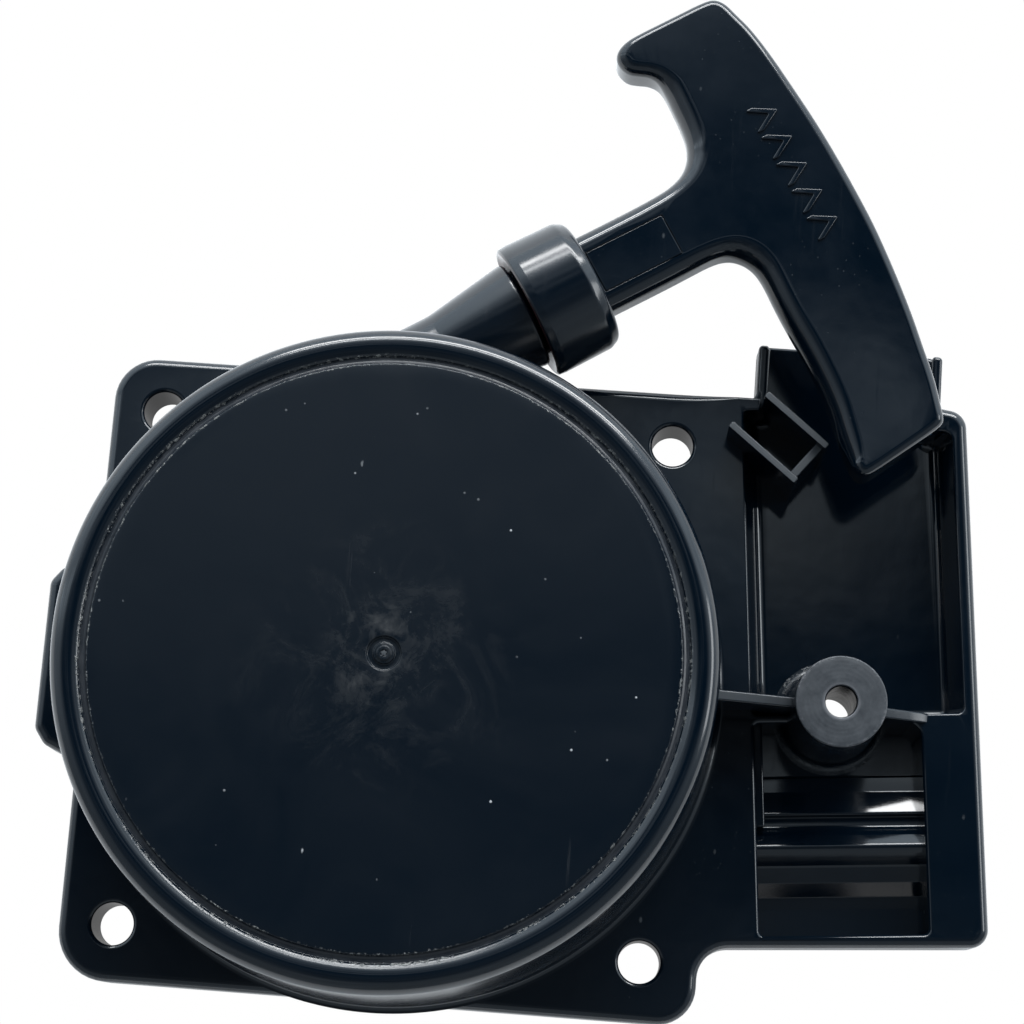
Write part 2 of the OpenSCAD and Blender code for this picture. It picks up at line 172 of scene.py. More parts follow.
def finish_mesh(name, bm, mat, body, matrix=None, sharp=38, weighted=True, hole=None):
    if matrix is not None:
        bmesh.ops.transform(bm, matrix=matrix, verts=bm.verts)
    if hole:
        punch(bm, *hole)
    bmesh.ops.remove_doubles(bm, verts=bm.verts, dist=1e-4)
    bmesh.ops.recalc_face_normals(bm, faces=bm.faces)
    bmesh.ops.scale(bm, vec=(MM, MM, MM), verts=bm.verts)
    me = bpy.data.meshes.new(name)
    bm.to_mesh(me)
    bm.free()
    me.polygons.foreach_set("use_smooth", [True] * len(me.polygons))
    me.set_sharp_from_angle(angle=math.radians(sharp))
    o = bpy.data.objects.new(name, me)
    bpy.context.scene.collection.objects.link(o)
    me.materials.append(mat)
    if weighted:
        w = o.modifiers.new("normals", "WEIGHTED_NORMAL")
        w.keep_sharp = True
        w.weight = 60
    if body:
        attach(o, body)
    return o


def slab(name, loops, z0, z1, mat, body, matrix=None, steps=6, sharp=38, hole=None, vary=None, amp=(1.85, 2.2, 1.5, 1.6)):
    """A plate with rounded edges. loops: (points, top radius, bottom radius[, depth]); the first is the outline.
    A loop with a depth is a blind pocket from the top."""
    bm = bmesh.new()
    top_edges, bot_edges = [], []
    for k, lp in enumerate(loops):
        pts, rt, rb = lp[0], lp[1], lp[2]
        depth = lp[3] if len(lp) > 3 else None
        if (area(pts) > 0) != (k == 0):
            pts = pts[::-1]
        w = np.zeros(len(pts)) if vary is None or k else vary(pts)
        ht, vt = rt + (w * amp[0] if rt else 0), rt + (w * amp[1] if rt else 0)
        hb, vb = rb + (w * amp[2] if rb else 0), rb + (w * amp[3] if rb else 0)
        prof = []
        if depth is None:
            for i in range(steps + 1) if rb > 0 else [steps]:
                t = math.radians(90 * (1 - i / steps)) if rb > 0 else 0
                prof.append((hb * (1 - math.cos(t)), z0 + vb * (1 - math.sin(t))))
        else:
            prof.append((0 * w, z1 - depth + 0 * w))
        for i in range(steps + 1) if rt > 0 else [0]:
            t = math.radians(90 * i / steps)
            prof.append((ht * (1 - math.cos(t)), z1 - vt * (1 - math.sin(t)) if rt > 0 else z1 + 0 * w))
        rings = []
        for e, z in prof:
            e, z = e + 0 * w, z + 0 * w
            q = inset(pts, e[:, None]) if np.abs(e).max() > 1e-6 else np.array(pts)
            rings.append([bm.verts.new((x, y, zz)) for (x, y), zz in zip(q, z)])
        m = len(pts)
        for a, b in zip(rings, rings[1:]):
            for i in range(m):
                j = (i + 1) % m
                bm.faces.new((a[i], a[j], b[j], b[i]))
        def edges(r):
            return [bm.edges.get((r[i], r[(i + 1) % m])) or bm.edges.new((r[i], r[(i + 1) % m])) for i in range(m)]
        top_edges += edges(rings[-1])
        if depth is None:
            bot_edges += edges(rings[0])
        else:
            bmesh.ops.triangle_fill(bm, use_beauty=True, edges=edges(rings[0]), normal=(0, 0, 1))
    bmesh.ops.triangle_fill(bm, use_beauty=True, edges=top_edges, normal=(0, 0, 1))
    bmesh.ops.triangle_fill(bm, use_beauty=True, edges=bot_edges, normal=(0, 0, -1))
    return finish_mesh(name, bm, mat, body, matrix, sharp, hole=hole)


def lathe(name, prof, mat, body, matrix=None, seg=128, sharp=38, closed=False, a0=0.0, weighted=False):
    """Turns a profile of (radius, z) about z."""
    bm = bmesh.new()
    cols = []
    for k in range(seg):
        a = a0 + 2 * math.pi * k / seg
        cols.append([bm.verts.new((r * math.cos(a), r * math.sin(a), z)) for r, z in prof])
    n = len(prof)
    for k in range(seg):
        A, B = cols[k], cols[(k + 1) % seg]
        for i in range(n if closed else n - 1):
            j = (i + 1) % n
            vs = []
            for v in (A[i], B[i], B[j], A[j]):
                if not any((v.co - w.co).length < 1e-6 for w in vs):
                    vs.append(v)
            if len(vs) > 2:
                bm.faces.new(vs)
    return finish_mesh(name, bm, mat, body, matrix, sharp, weighted)


def bevelled_profile(pts, n=5):
    return rounded(pts, n, closed=False)


def extrude_profile(name, prof, u0, u1, mat, body, matrix, sharp=38):
    """prof: open (v, z) line, swept along u."""
    bm = bmesh.new()
    A = [bm.verts.new((u0, v, z)) for v, z in prof]
    B = [bm.verts.new((u1, v, z)) for v, z in prof]
    for i in range(len(prof) - 1):
        bm.faces.new((A[i], A[i + 1], B[i + 1], B[i]))
    return finish_mesh(name, bm, mat, body, matrix, sharp, weighted=False)


def tube(name, pts, r, mat, body, seg=16, matrix=None):
    bm = bmesh.new()
    rings = []
    P = [Vector(p) for p in pts]
    up = Vector((0, 0, 1))
    for i, p in enumerate(P):
        t = (P[min(i + 1, len(P) - 1)] - P[max(i - 1, 0)]).normalized()
        x = t.cross(up)
        x = x.normalized() if x.length > 1e-6 else Vector((1, 0, 0))
        y = x.cross(t).normalized()
        rings.append([bm.verts.new(p + (x * math.cos(2 * math.pi * k / seg) + y * math.sin(2 * math.pi * k / seg)) * r) for k in range(seg)])
    for a, b in zip(rings, rings[1:]):
        for k in range(seg):
            bm.faces.new((a[k], a[(k + 1) % seg], b[(k + 1) % seg], b[k]))
    bm.faces.new(rings[0][::-1])
    bm.faces.new(rings[-1])
    return finish_mesh(name, bm, mat, body, matrix, 50, weighted=False)


# ---------------------------------------------------------------- materials
class Mat:
    def __init__(self, name, base, rough=0.3, metal=0.0, spec=0.5, ior=1.5, coat=0.0, coat_rough=0.1):
        self.m = bpy.data.materials.new(name)
        self.m.use_nodes = True
        self.t = self.m.node_tree
        self.n, self.l = self.t.nodes, self.t.links
        self.b = self.n["Principled BSDF"]
        self.b.inputs["Base Color"].default_value = (*base, 1)
        self.b.inputs["Roughness"].default_value = rough
        self.b.inputs["Metallic"].default_value = metal
        self.b.inputs["IOR"].default_value = ior
        self.b.inputs["Specular IOR Level"].default_value = spec
        self.b.inputs["Coat Weight"].default_value = coat
        self.b.inputs["Coat Roughness"].default_value = coat_rough
        self.tc = self.n.new("ShaderNodeTexCoord")
        self.obj = self.tc.outputs["Object"]

    def node(self, kind, **kw):
        n = self.n.new(kind)
        for k, v in kw.items():
            setattr(n, k, v)
        return n

    def noise(self, scale, detail=4, rough=0.55, vec=None, dist=0.0):
        n = self.node("ShaderNodeTexNoise")
        n.inputs["Scale"].default_value = scale
        n.inputs["Detail"].default_value = detail
        n.inputs["Roughness"].default_value = rough
        n.inputs["Distortion"].default_value = dist
        self.l.new(vec or self.obj, n.inputs["Vector"])
        return n.outputs["Fac"]

    def voronoi(self, scale, vec=None, feature="F1", rnd=1.0):
        n = self.node("ShaderNodeTexVoronoi", feature=feature)
        n.inputs["Scale"].default_value = scale
        n.inputs["Randomness"].default_value = rnd
        self.l.new(vec or self.obj, n.inputs["Vector"])
        return n.outputs["Distance"]

    def mapping(self, scale=(1, 1, 1), rot=(0, 0, 0), loc=(0, 0, 0), vec=None):
        n = self.node("ShaderNodeMapping")
        n.inputs["Scale"].default_value = scale
        n.inputs["Rotation"].default_value = rot
        n.inputs["Location"].default_value = loc
        self.l.new(vec or self.obj, n.inputs["Vector"])
        return n.outputs["Vector"]

    def remap(self, fac, a, b, c, d, smooth=False):
        n = self.node("ShaderNodeMapRange")
        if smooth:
            n.interpolation_type = "SMOOTHSTEP"
        n.inputs["From Min"].default_value = a
        n.inputs["From Max"].default_value = b
        n.inputs["To Min"].default_value = c
        n.inputs["To Max"].default_value = d
        self.l.new(fac, n.inputs["Value"])
        return n.outputs["Result"]

    def math(self, op, a, b=None):
        n = self.node("ShaderNodeMath", operation=op)
        for i, v in enumerate((a, b)):
            if v is None:
                continue
            if isinstance(v, (int, float)):
                n.inputs[i].default_value = v
            else:
                self.l.new(v, n.inputs[i])
        return n.outputs[0]

    def xyz(self, vec=None):
        n = self.node("ShaderNodeSeparateXYZ")
        self.l.new(vec or self.obj, n.inputs[0])
        return n.outputs

    def normal(self):
        n = self.node("ShaderNodeNewGeometry")
        return n.outputs["Normal"]

    def radius(self, cx=0.0, cy=0.0, vec=None):
        x, y, z = self.xyz(vec)
        dx, dy = self.math("SUBTRACT", x, cx), self.math("SUBTRACT", y, cy)
        return self.math("SQRT", self.math("ADD", self.math("MULTIPLY", dx, dx), self.math("MULTIPLY", dy, dy)))

    def mix(self, fac, a, b):
        n = self.node("ShaderNodeMix", data_type="RGBA")
        if isinstance(fac, (int, float)):
            n.inputs["Factor"].default_value = fac
        else:
            self.l.new(fac, n.inputs["Factor"])
        for s, v in (("A", a), ("B", b)):
            k = [i for i in n.inputs if i.name == s and i.type == "RGBA"][0]
            if isinstance(v, (tuple, list)):
                k.default_value = (*v[:3], 1)
            else:
                self.l.new(v, k)
        return [o for o in n.outputs if o.type == "RGBA"][0]

    def color(self, sock):
        self.l.new(sock, self.b.inputs["Base Color"])

    def rough(self, sock):
        self.l.new(sock, self.b.inputs["Roughness"])

    def bump(self, height, strength=0.2, dist=0.0001, prev=None):
        n = self.node("ShaderNodeBump")
        n.inputs["Strength"].default_value = strength
        n.inputs["Distance"].default_value = dist
        self.l.new(height, n.inputs["Height"])
        if prev is not None:
            self.l.new(prev, n.inputs["Normal"])
        self.l.new(n.outputs["Normal"], self.b.inputs["Normal"])
        return n.outputs["Normal"]


BLACK = (0.0005, 0.0030, 0.0066)


def moulded(name, base=BLACK, rough=(0.10, 0.20), wave=0.35, dust=0.5, spec=0.5, grey=(0.05, 0.055, 0.06), matte_and_painted_lit_top=0.0):
    """Injection-moulded glossy plastic: slow waviness, fine handling scuffs, lint and dust; optionally a painted
    lighter grey (painted light) and a matte roughness on up-facing faces.
    """
    k = Mat(name, base, rough[0], spec=spec)
    big = k.noise(55, 3, 0.5)
    fine = k.noise(900, 4, 0.6)
    scr = k.noise(700, 6, 0.7, vec=k.mapping(scale=(1, 0.06, 1), rot=(0, 0, 0.5)))
    scr2 = k.noise(600, 6, 0.7, vec=k.mapping(scale=(0.07, 1, 1), rot=(0, 0, -0.3)))
    smear = k.noise(38, 5, 0.65, dist=0.8)
    r = k.remap(smear, 0.35, 0.72, rough[0], rough[1])
    r = k.math("ADD", r, k.math("MULTIPLY", k.remap(scr, 0.60, 0.72, 0, 1), 0.05))
    r = k.math("ADD", r, k.math("MULTIPLY", k.remap(scr2, 0.61, 0.74, 0, 1), 0.05))
    # lint and dust
    v = k.voronoi(260, vec=k.mapping(scale=(1, 0.55, 1), rot=(0, 0, 0.9)))
    gate = k.remap(k.noise(120, 2, 0.5), 0.56, 0.66, 0, 1)
    speck = k.math("MULTIPLY", k.remap(v, 0.035, 0.075, 1, 0), gate)
    v2 = k.voronoi(900)
    gate2 = k.remap(k.noise(60, 3, 0.6), 0.52, 0.62, 0, 1)
    speck2 = k.math("MULTIPLY", k.remap(v2, 0.05, 0.13, 1, 0), gate2)
    spk = k.math("MAXIMUM", k.math("MULTIPLY", speck, 1.0), k.math("MULTIPLY", speck2, 0.35))
    spk = k.math("MULTIPLY", spk, dust)
    col = k.mix(k.remap(smear, 0.4, 0.8, 0, 0.25), base, tuple(c * 1.8 for c in base))
    col = k.mix(spk, col, (0.10, 0.11, 0.115))
    # painted light: up-facing faces get a lighter grey, plus a matte roughness
    if matte_and_painted_lit_top:
        nz = k.xyz(k.normal())[2]
        top = k.remap(nz, 0.93, 0.99, 0, matte_and_painted_lit_top)
        col = k.mix(top, col, grey)
        r = k.math("ADD", r, k.math("MULTIPLY", top, 0.4))
    k.color(col)
    k.rough(k.math("ADD", r, k.math("MULTIPLY", spk, 0.5)))
    b = k.bump(big, wave, 0.0003)
    b = k.bump(fine, 0.05, 0.00003, b)
    k.bump(spk, 0.35, 0.00006, b)
    return k


def metal(name, base, rough=(0.22, 0.4), dirt=(0.03, 0.028, 0.025), grain=1.0):
    k = Mat(name, base, rough[0], metal=1.0)
    n1 = k.noise(300, 5, 0.6)
    n2 = k.noise(1500, 3, 0.6)
    g = k.noise(900, 4, 0.6, vec=k.mapping(scale=(1, 0.05, 1)))
    k.color(k.mix(k.remap(n1, 0.5, 0.75, 0, 0.55), base, dirt))
    k.rough(k.math("ADD", k.remap(n1, 0.3, 0.7, rough[0], rough[1]), k.math("MULTIPLY", g, 0.08 * grain)))
    b = k.bump(n2, 0.12, 0.00002)
    k.bump(g, 0.08 * grain, 0.00002, b)
    return k


def drum_material():
    k = Mat("drum_black", BLACK, 0.12, spec=0.5)
    x, y, z = k.xyz()
    rad = k.radius()
    big = k.noise(48, 3, 0.5)
    fine = k.noise(1100, 4, 0.6)
    smear = k.noise(34, 5, 0.68, dist=1.2)
    face = k.math("MULTIPLY", k.remap(rad, 0.0399, 0.0401, 1, 0), k.remap(z, 0.0350, 0.0352, 0, 1))
    # broad rubbed patches on the face, strongest round the middle
    halo = k.math("MULTIPLY", k.remap(rad, 0.0035, 0.011, 1, 0, True), k.remap(k.noise(260, 5, 0.75, dist=0.6), 0.46, 0.72, 0, 1))
    halo2 = k.math("MULTIPLY", k.remap(rad, 0.005, 0.026, 1, 0, True), k.remap(k.noise(90, 6, 0.75, dist=1.5), 0.5, 0.78, 0, 1))
    rub = k.math("MULTIPLY", face, k.math("ADD", k.math("MULTIPLY", halo, 0.9), k.math("MULTIPLY", halo2, 0.7)))
    # hair scratches in several directions
    scr = None
    for i, (ang, sc) in enumerate(((0.35, 420), (-0.8, 520), (1.2, 380), (2.1, 610))):
        s = k.noise(sc, 5, 0.75, vec=k.mapping(scale=(1, 0.035, 1), rot=(0, 0, ang), loc=(i * 0.37, i * 0.11, 0)))
        s = k.math("MULTIPLY", k.remap(s, 0.69, 0.75, 0, 1), k.remap(k.noise(90, 2, 0.5), 0.5, 0.7, 0, 1))
        scr = s if scr is None else k.math("MAXIMUM", scr, s)
    scr = k.math("MULTIPLY", scr, face)
    # lint: short curved fibres and dots
    warp = k.node("ShaderNodeVectorMath", operation="ADD")
    wn = k.node("ShaderNodeTexNoise")
    wn.inputs["Scale"].default_value = 320
    k.l.new(k.obj, wn.inputs["Vector"])
    ws = k.node("ShaderNodeVectorMath", operation="SCALE")
    ws.inputs["Scale"].default_value = 0.0022
    k.l.new(wn.outputs["Color"], ws.inputs[0])
    k.l.new(k.obj, warp.inputs[0])
    k.l.new(ws.outputs[0], warp.inputs[1])
    lint = None
    for i, ang in enumerate((0.2, 1.3, 2.4)):
        vv = k.voronoi(150, vec=k.mapping(scale=(1, 0.30, 1), rot=(0, 0, ang), loc=(0.13 * i, 0.07 * i, 0), vec=warp.outputs[0]))
        g = k.remap(k.noise(130, 1, 0.5, vec=k.mapping(loc=(0.5 * i + 0.21, 0.4, 0.1))), 0.56, 0.60, 0, 1)
        s = k.math("MULTIPLY", k.remap(vv, 0.022, 0.042, 1, 0), g)
        lint = s if lint is None else k.math("MAXIMUM", lint, s)
    dots = k.math("MULTIPLY", k.remap(k.voronoi(430), 0.045, 0.090, 1, 0), k.remap(k.noise(140, 2, 0.5), 0.58, 0.66, 0, 1))
    spk = k.math("MULTIPLY", k.math("MAXIMUM", lint, k.math("MULTIPLY", dots, 0.8)), face)
    # rough band in the ring and fine burrs on both of its edges
    top = k.remap(z, 0.0340, 0.0344, 0, 1)
    jit = k.math("MULTIPLY", k.math("SUBTRACT", k.noise(700, 4, 0.7), 0.5), 0.0007)
    jr = k.math("ADD", rad, jit)
    band = k.math("MULTIPLY", k.remap(jr, 0.04015, 0.04040, 0, 1), k.remap(jr, 0.04105, 0.04130, 1, 0))
    band = k.math("MULTIPLY", k.math("MULTIPLY", band, top), k.remap(k.noise(240, 4, 0.65), 0.3, 0.7, 0.35, 1.0))
    e1 = k.math("MULTIPLY", k.remap(jr, 0.04000, 0.04012, 0, 1), k.remap(jr, 0.04022, 0.04036, 1, 0))
    e2 = k.math("MULTIPLY", k.remap(jr, 0.04120, 0.04134, 0, 1), k.remap(jr, 0.04150, 0.04168, 1, 0))
    grit = k.remap(k.noise(1500, 3, 0.75), 0.50, 0.60, 0, 1)
    gate3 = k.remap(k.noise(75, 4, 0.7), 0.44, 0.62, 0.15, 1)
    crumbs = k.math("MULTIPLY", k.math("MULTIPLY", k.math("MAXIMUM", e1, e2), k.math("MULTIPLY", grit, gate3)), top)
    col = k.mix(k.math("MULTIPLY", rub, 0.5), BLACK, (0.022, 0.023, 0.024))
    col = k.mix(k.math("MULTIPLY", scr, 0.25), col, (0.030, 0.031, 0.033))
    col = k.mix(spk, col, (0.42, 0.43, 0.44))
    col = k.mix(k.math("MULTIPLY", band, 0.8), col, (0.020, 0.022, 0.027))
    col = k.mix(k.math("MULTIPLY", crumbs, 0.9), col, (0.20, 0.20, 0.19))
    k.color(col)
    r = k.remap(smear, 0.3, 0.7, 0.10, 0.19)
    r = k.math("ADD", r, k.math("MULTIPLY", face, 0.08))
    r = k.math("ADD", r, k.math("MULTIPLY", band, 0.30))
    r = k.math("ADD", r, k.math("MULTIPLY", rub, 0.30))
    r = k.math("ADD", r, k.math("MULTIPLY", scr, 0.10))
    r = k.math("ADD", r, k.math("MULTIPLY", k.math("MAXIMUM", spk, crumbs), 0.5))
    k.rough(r)
    b = k.bump(big, 0.25, 0.0003)
    b = k.bump(fine, 0.04, 0.00003, b)
    b = k.bump(rub, 0.25, 0.00004, b)
    k.bump(k.math("MAXIMUM", spk, crumbs), 0.6, 0.00010, b)
    return k


M_HOUSE = moulded("house_black", dust=0.35, rough=(0.10, 0.19), wave=0.30)
M_DRUM = drum_material()
M_TRAYF = moulded("tray_black", rough=(0.07, 0.13), wave=0.22, dust=0.12)
# rib, clip and gate-mark tops get painted light: a lighter grey on up-facing faces
M_RIB = moulded("rib_black", rough=(0.16, 0.26), wave=0.2, dust=0.2, matte_and_painted_lit_top=0.75, grey=(0.045, 0.05, 0.055))
M_HANDLE = moulded("handle_black", rough=(0.08, 0.16), wave=0.25, dust=0.45)
M_COLLAR = moulded("collar_black", rough=(0.15, 0.24), wave=0.16, dust=0.15)


def painted_reflection_tint(k):
    """Reddish-brown painted reflection on the bevel at the collar's mouth."""
    x, y, z = k.xyz()
    d = k.math("ADD", k.math("MULTIPLY", x, math.cos(PULL)), k.math("MULTIPLY", y, math.sin(PULL)))
    m = k.math("MULTIPLY", k.remap(d, 0.0412, 0.0420, 1, 0, True), k.remap(k.noise(300, 3, 0.6), 0.3, 0.6, 0.55, 1.0))
    m = k.math("MULTIPLY", m, k.remap(k.radius_about_rope(x, y, z), 0.0094, 0.0099, 1, 0, True))
    src = k.b.inputs["Base Color"].links[0].from_socket
    k.color(k.mix(m, src, (0.085, 0.026, 0.020)))


def _rope_radius(self, x, y, z):
    n = self.math("SUBTRACT", self.math("SUBTRACT", self.math("MULTIPLY", y, math.cos(PULL)), self.math("MULTIPLY", x, math.sin(PULL))), OFF * MM)
    h = self.math("SUBTRACT", z, RZ * MM)
    return self.math("SQRT", self.math("ADD", self.math("MULTIPLY", n, n), self.math("MULTIPLY", h, h)))


Mat.radius_about_rope = _rope_radius
# reddish-brown painted reflection on the collar's mouth bevel
painted_reflection_tint(M_COLLAR)
M_NECK = moulded("neck_black", rough=(0.17, 0.25), wave=0.3, dust=0.2)


def boss_material():
    k = Mat("boss_black", BLACK, 0.2, spec=0.5)
    z = k.xyz()[2]
    rad = k.radius(BX * MM, BY * MM)
    top = k.remap(z, (BOSS_H - 0.35) * MM, (BOSS_H - 0.1) * MM, 0, 1)
    rings = k.node("ShaderNodeTexWave", wave_type="RINGS", rings_direction="Z")
    rings.inputs["Scale"].default_value = 520
    rings.inputs["Distortion"].default_value = 1.5
    rings.inputs["Detail"].default_value = 3
    k.l.new(k.mapping(loc=(-BX * MM, -BY * MM, 0)), rings.inputs["Vector"])
    n = k.noise(420, 5, 0.7)
    edge = k.math("MULTIPLY", k.remap(rad, 0.0058, 0.0063, 0, 1), k.remap(k.noise(900, 4, 0.8), 0.50, 0.62, 0, 1))
    # painted highlight: a lighter ring on the bore's top chamfer stands in for its lit inner wall
    painted_bore_rim_light = k.math("MULTIPLY", k.remap(rad, 0.0028, 0.0023, 0, 1), 0.6)
    col = k.mix(k.math("MULTIPLY", top, k.remap(n, 0.3, 0.75, 0.35, 1)), BLACK, (0.042, 0.046, 0.052))
    # lighter grey: the mottled outer rim and the painted highlight on the bore's rim
    col = k.mix(k.math("MULTIPLY", top, k.math("MAXIMUM", k.math("MULTIPLY", edge, 0.6), painted_bore_rim_light)), col, (0.14, 0.14, 0.15))
    k.color(col)
    k.rough(k.math("ADD", k.math("MULTIPLY", top, 0.28), k.remap(n, 0.3, 0.7, 0.16, 0.26)))
    b = k.bump(rings.outputs["Fac"], 0.10, 0.00004)
    b = k.bump(n, 0.25, 0.00005, b)
    k.bump(edge, 0.4, 0.0001, b)
    return k


M_BOSS = boss_material()


def rope_material():
    k = Mat("rope_braid", (0.72, 0.70, 0.64), 0.75, spec=0.2)
    vec = k.mapping(scale=(1, 1, 1))
    a = k.node("ShaderNodeTexWave", wave_type="BANDS", bands_direction="X")
    a.inputs["Scale"].default_value = 420
    a.inputs["Distortion"].default_value = 1.0
    k.l.new(k.mapping(rot=(0.6, 0.2, 0.9)), a.inputs["Vector"])
    b = k.node("ShaderNodeTexWave", wave_type="BANDS", bands_direction="X")
    b.inputs["Scale"].default_value = 420
    b.inputs["Distortion"].default_value = 1.0
    k.l.new(k.mapping(rot=(-0.6, 0.2, -0.5)), b.inputs["Vector"])
    w = k.math("MAXIMUM", a.outputs["Fac"], b.outputs["Fac"])
    dirt = k.noise(140, 4, 0.6)
    flecks = k.remap(k.noise(260, 2, 0.5), 0.60, 0.62, 0, 1)
    col = k.mix(k.remap(w, 0.2, 0.9, 0, 1), (0.30, 0.29, 0.26), (0.74, 0.72, 0.66))
    col = k.mix(k.remap(dirt, 0.5, 0.8, 0, 0.5), col, (0.20, 0.18, 0.15))
    col = k.mix(k.math("MULTIPLY", flecks, 0.7), col, (0.05, 0.06, 0.10))
    k.color(col)
    k.rough(k.remap(dirt, 0.3, 0.7, 0.65, 0.85))
    k.bump(w, 0.7, 0.0003)
    return k


M_ROPE_BRAID = rope_material()
M_STEEL = metal("zinc_steel", (0.62, 0.63, 0.64), (0.25, 0.42), (0.30, 0.29, 0.27))
M_SPRING = metal("spring_steel", (0.20, 0.22, 0.26), (0.18, 0.34), (0.06, 0.05, 0.05))
M_PAWL = metal("sintered_steel", (0.30, 0.30, 0.31), (0.35, 0.55), (0.10, 0.09, 0.08))
M_BRASS = metal("turned_brass", (0.72, 0.52, 0.24), (0.20, 0.35), (0.25, 0.16, 0.07))
M_EYE = metal("hard_ring", (0.78, 0.79, 0.81), (0.08, 0.18), (0.45, 0.44, 0.43), grain=0.3)
M_REEL = moulded("reel_grey", base=(0.035, 0.038, 0.043), rough=(0.32, 0.48), wave=0.2, dust=0.15)
M_CASE = moulded("case_grey", base=(0.018, 0.020, 0.023), rough=(0.30, 0.45), wave=0.2, dust=0.15)

for node, mat in {
    "rope_eyelet": M_EYE, "post_insert": M_BRASS, "centre_bolt": M_STEEL, "clamp_washer": M_STEEL, "thrust_washer": M_STEEL,
    "spring_case": M_CASE, "case_screws": M_STEEL, "mainspring": M_SPRING, "reel": M_REEL, "reel_bush": M_BRASS,
    "rope_coil": M_ROPE_BRAID, "reel_knot": M_ROPE_BRAID, "friction_plate": M_STEEL, "friction_spring": M_SPRING,
    "return_spring": M_SPRING, "pawl_a": M_PAWL, "pawl_b": M_PAWL, "rope_lead": M_ROPE_BRAID, "knot_washer": M_STEEL,
    "grip_knot": M_ROPE_BRAID, "handle_lid": M_HANDLE, "housing": M_HOUSE, "handle_grip": M_HANDLE,
}.items():
    me = NODES[node].data
    if not me.materials:
        me.materials.append(mat.m)
    for i in range(len(me.materials)):
        me.materials[i] = mat.m

H = M_HOUSE.m
BODY = "starter"


def add(o):
    return o


# ---------------------------------------------------------------- plate
outer = rounded([
    (-45.2, -45.6, 7.2),
    (45.75, -46.0, 8.2),
    (45.75, -34.9, 4.6),
    (*tray(21.1, -33.6), 2.6),
    (*tray(21.1, 44.2), 2.8),
    (75.1, 46.3, 0.9),
    (75.1, 42.4, 0.8),
    (*tray(18.8, 41.3), 1.6),
    (*tray(18.8, -0.2), 0.9),
    (*tray(-11.65, -0.2), 1.0),
    (*tray(-11.65, 44.8), 0.5),
    (50.0, 43.7, 0.3),
    (50.0, 45.55, 0.4),
    (-45.2, 45.55, 6.2),
    (-45.2, 15.8, 1.5),
    (-50.2, 13.2, 2.0),
    (-51.75, 11.2, 2.0),
    (-51.75, -10.4, 2.0),
    (-50.2, -12.6, 2.0),
    (-45.3, -14.8, 1.5),
], 10)
loops = [(dense(outer, 3.0), 1.45, 0.5)]
for sx in (-1, 1):
    for sy in (-1, 1):
        loops.append((circle(sx * HG, sy * HG, 3.0, 64), 0.6, 0.3))
loops.append((circle(0, 0, IN_R + 0.4, 128), 0, 0))
low = rounded([(*tray(-11.4, -31.6), 0.8), (*tray(12.6, -31.6), 0.8), (*tray(12.6, -1.3), 2.4), (*tray(-11.4, -1.3), 0.8)], 6)
loops.append((dense(low, 2.0), 0.55, 0))
BORE = (BX, BY, 3.12)


def notch_side(pts):
    """1 along the edge of the upper pocket, 0 on the outside of the plate."""
    w = []
    for x, y in pts:
        u = (x - BX) * math.cos(TURN) + (y - BY) * math.sin(TURN)
        v = -(x - BX) * math.sin(TURN) + (y - BY) * math.cos(TURN)
        w.append(1.0 if (-11.9 < u < 18.95 and -0.5 < v < 43.2) or (46.5 < x < 75.3 and 41 < y < 47) else 0.0)
    w = np.array(w)
    for _ in range(2):
        w = np.maximum(w, (np.roll(w, 1) + w + np.roll(w, -1)) / 3)
    return w


add(slab("plate", loops, 0, PLATE, H, BODY, steps=7, hole=BORE, vary=notch_side, amp=(-1.05, -1.05, 0, 0)))

# ---------------------------------------------------------------- drum
rim_c, rim_z = DR - 2.45, DH - 2.3
prof = [(IN_R, 0), (DR + 0.75, 0), (DR + 0.75, PLATE - 1)]
prof += [(DR + 0.75 + 1.1 * (1 - math.cos(math.radians(a))) * 0 + 1.1 - 1.1 * math.sin(math.radians(a)), PLATE + 1.1 - 1.1 * math.cos(math.radians(a))) for a in range(0, 91, 15)]
prof += [(DR + 0.55, 14), (DR + 0.3, 22), (DR + 0.05, rim_z - 1.2)]
prof += [(rim_c + 2.45 * math.cos(math.radians(a)), rim_z + 2.45 * math.sin(math.radians(a))) for a in range(0, 126, 6)]
prof += bevelled_profile([(41.5, DH - 0.28, 0), (41.28, DH - 0.62, 0.12), (40.75, DH - 0.62, 0.2), (40.45, DH - 0.42, 0.1), (40.2, DH - 0.05, 0.12), (DISC - 0.15, DH, 0)], 3)
prof += [(r, DH) for r in (38, 34, 28, 20, 12, 6)]
prof += bevelled_profile([(3.2, DH, 0), (2.42, DH, 0.1), (2.25, DH - 0.4, 0.15), (1.5, DH - 0.4, 0.15), (1.38, DH - 0.08, 0.08), (1.02, DH - 0.08, 0.06),
                          (0.92, DH + 0.15, 0.06), (0.5, DH + 0.15, 0.06), (0.36, DH - 0.28, 0)], 3)
prof += [(0, DH - 0.28)]
seg = 256
add(lathe("drum", prof, M_DRUM.m, BODY, seg=seg, sharp=50))
inner = [(0, 20), (2.7, 20), (2.7, 19), (3.6, 19), (3.6, 6.2)] + bevelled_profile([(3.6, 6.2, 0), (6.0, 6.2, 0.3), (6.0, IN_H - 1.6, 0), (6.3, IN_H - 0.6, 0.6), (7.6, IN_H, 0.6), (IN_R - 1.4, IN_H, 1.2), (IN_R, IN_H - 1.6, 1.2), (IN_R, 0, 0)], 4)
add(lathe("drum_inside", inner, M_CASE.m, BODY, seg=160, sharp=50))
